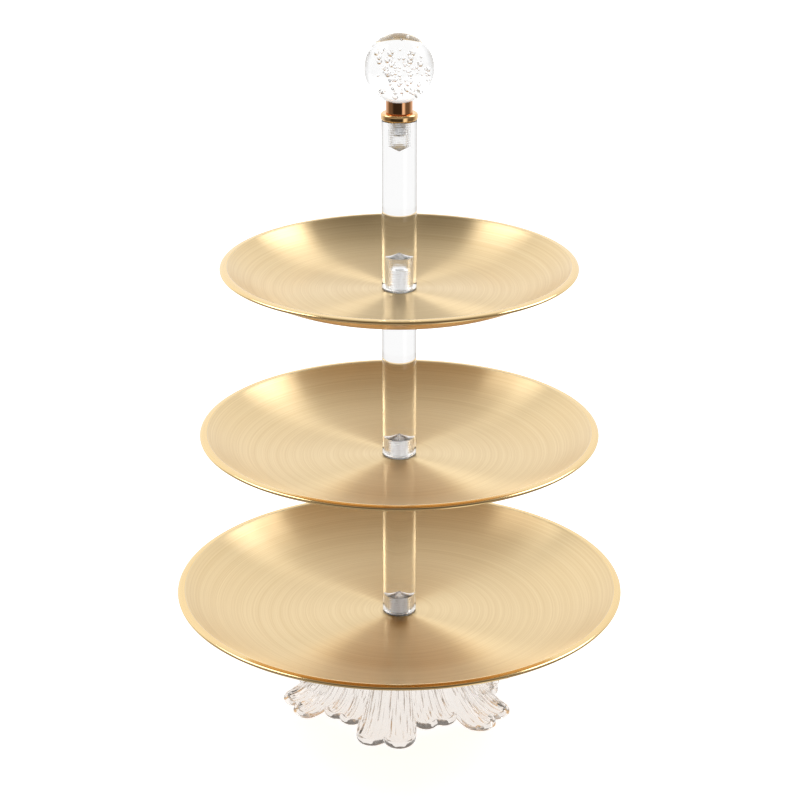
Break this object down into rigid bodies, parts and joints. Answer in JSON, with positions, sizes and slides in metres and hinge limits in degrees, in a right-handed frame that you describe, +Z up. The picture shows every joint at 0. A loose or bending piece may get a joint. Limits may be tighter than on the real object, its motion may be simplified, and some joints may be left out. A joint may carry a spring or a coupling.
{
  "type": "tiered cake stand",
  "caption": "Tiered cake stand: round brushed metal plates clamped between clear rods on a ruffled glass foot, with a glass ball finial.",
  "frame": {"origin": "on the table, under the axis that the rods and plates share", "axes": "+Z up along the rods; the stand looks much the same from every side, and one petal of the foot points almost along -Y"},
  "size_m": [0.26, 0.26, 0.3953],
  "materials": {
    "foot_glass": "clear pressed glass with fine ribs",
    "ball_glass": "clear glass full of small bubbles",
    "clear_acrylic": "clear, polished",
    "clear_silicone": "translucent",
    "black_rubber": "matt",
    "brushed_gold": "gold-coloured, brushed in circles, polished edge",
    "polished_gold": "polished",
    "rose_gold": "polished",
    "steel": "zinc plated"
  },
  "bodies": {
    "foot": {"glass_foot": "foot_glass", "foot_cushion": "black_rubber", "foot_washer": "steel", "foot_bolt": "steel", "bottom_plate_gasket": "clear_silicone"},
    "bottom_plate": {"bottom_plate": "brushed_gold"},
    "lower_rod_lift": {"lower_rod_gasket": "clear_silicone"},
    "lower_rod": {"lower_rod": "clear_acrylic", "lower_stud": "steel", "middle_plate_gasket": "clear_silicone"},
    "middle_plate": {"middle_plate": "brushed_gold"},
    "middle_rod_lift": {"middle_rod_gasket": "clear_silicone"},
    "middle_rod": {"middle_rod": "clear_acrylic", "upper_stud": "steel", "top_plate_gasket": "clear_silicone"},
    "top_plate": {"top_plate": "brushed_gold"},
    "top_rod_lift": {"top_rod_gasket": "clear_silicone"},
    "top_rod": {"top_rod": "clear_acrylic"},
    "finial_lift": {"finial_ring": "polished_gold"},
    "finial": {"finial_neck": "rose_gold", "finial_stud": "steel", "finial_ball": "ball_glass"}
  },
  "joints": [
    {"name": "bottom_plate_turn", "type": "hinge", "parent": "foot", "child": "bottom_plate", "pos_m": [0, 0, 0.0512], "axis": [0, 0, 1], "continuous": true},
    {"name": "lower_rod_rise", "type": "slide", "parent": "foot", "child": "lower_rod_lift", "axis": [0, 0, 1], "range_m": [0, 0.009]},
    {"name": "lower_rod_unscrew", "type": "hinge", "parent": "lower_rod_lift", "child": "lower_rod", "pos_m": [0, 0, 0.0525], "axis": [0, 0, 1], "range_deg": [0, 2160]},
    {"name": "middle_plate_turn", "type": "hinge", "parent": "lower_rod", "child": "middle_plate", "pos_m": [0, 0, 0.1512], "axis": [0, 0, 1], "continuous": true},
    {"name": "middle_rod_rise", "type": "slide", "parent": "lower_rod", "child": "middle_rod_lift", "axis": [0, 0, 1], "range_m": [0, 0.009]},
    {"name": "middle_rod_unscrew", "type": "hinge", "parent": "middle_rod_lift", "child": "middle_rod", "pos_m": [0, 0, 0.1525], "axis": [0, 0, 1], "range_deg": [0, 2160]},
    {"name": "top_plate_turn", "type": "hinge", "parent": "middle_rod", "child": "top_plate", "pos_m": [0, 0, 0.2512], "axis": [0, 0, 1], "continuous": true},
    {"name": "top_rod_rise", "type": "slide", "parent": "middle_rod", "child": "top_rod_lift", "axis": [0, 0, 1], "range_m": [0, 0.0105]},
    {"name": "top_rod_unscrew", "type": "hinge", "parent": "top_rod_lift", "child": "top_rod", "pos_m": [0, 0, 0.2525], "axis": [0, 0, 1], "range_deg": [0, 2520]},
    {"name": "finial_rise", "type": "slide", "parent": "top_rod", "child": "finial_lift", "axis": [0, 0, 1], "range_m": [0, 0.0075]},
    {"name": "finial_unscrew", "type": "hinge", "parent": "finial_lift", "child": "finial", "pos_m": [0, 0, 0.3481], "axis": [0, 0, 1], "range_deg": [0, 2160]}
  ],
  "couplings": [
    {"joint": "lower_rod_unscrew", "follows": "lower_rod_rise", "rad_per_m": 4188.8},
    {"joint": "middle_rod_unscrew", "follows": "middle_rod_rise", "rad_per_m": 4188.8},
    {"joint": "top_rod_unscrew", "follows": "top_rod_rise", "rad_per_m": 4188.8},
    {"joint": "finial_unscrew", "follows": "finial_rise", "rad_per_m": 5026.5}
  ]
}
